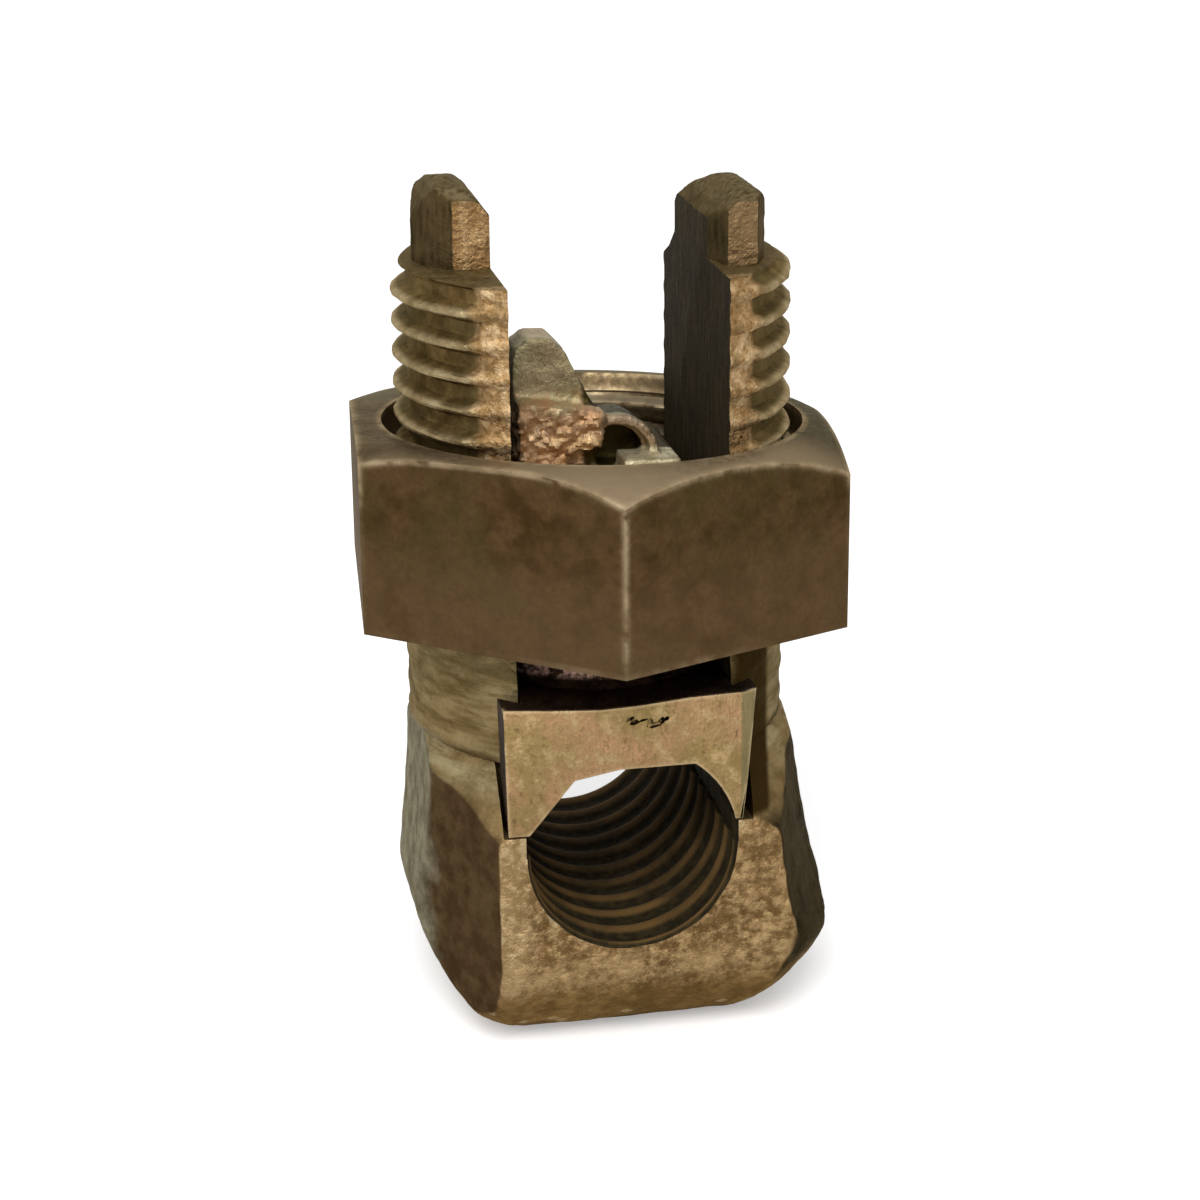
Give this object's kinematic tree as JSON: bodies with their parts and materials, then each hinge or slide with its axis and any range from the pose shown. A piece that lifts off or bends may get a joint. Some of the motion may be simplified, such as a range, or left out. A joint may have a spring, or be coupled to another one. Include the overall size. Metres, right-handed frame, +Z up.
{
  "type": "split bolt connector",
  "caption": "Slotted bolt with a round wire saddle, and a hexagon nut that drives a pressure bar down the slot to clamp stranded wires.",
  "frame": {"origin": "centre of the whole connector's box at the base it stands on", "axes": "+Z up the bolt, along the thread; the wires run along Y; the threaded legs stand at -X and +X, with -Y toward the viewer"},
  "size_m": [0.0248, 0.0274, 0.0436],
  "materials": {
    "forged_bronze": "forged and turned copper alloy, browned in the hollows, rubbed bright on the edges",
    "nut_bronze": "satin copper alloy under an even dark brown patina, paler along its corners",
    "bar_bronze": "sawn and pressed copper alloy, pale front faces with copper-red torn surfaces on top"
  },
  "bodies": {
    "bolt": {"bolt_body": "forged_bronze"},
    "bar": {"pressure_bar": "bar_bronze"},
    "nut": {"hex_nut": "nut_bronze"}
  },
  "joints": [
    {"name": "bar_slide", "type": "slide", "parent": "bolt", "child": "bar", "axis": [0, 0, 1], "range_m": [0, 0.01271]},
    {"name": "nut_spin", "type": "hinge", "parent": "bar", "child": "nut", "pos_m": [0, 0, 0.02665], "axis": [0, 0, 1], "range_deg": [0, 2880]}
  ],
  "couplings": [
    {"joint": "bar_slide", "follows": "nut_spin", "m_per_rad": 0.00025266}
  ]
}
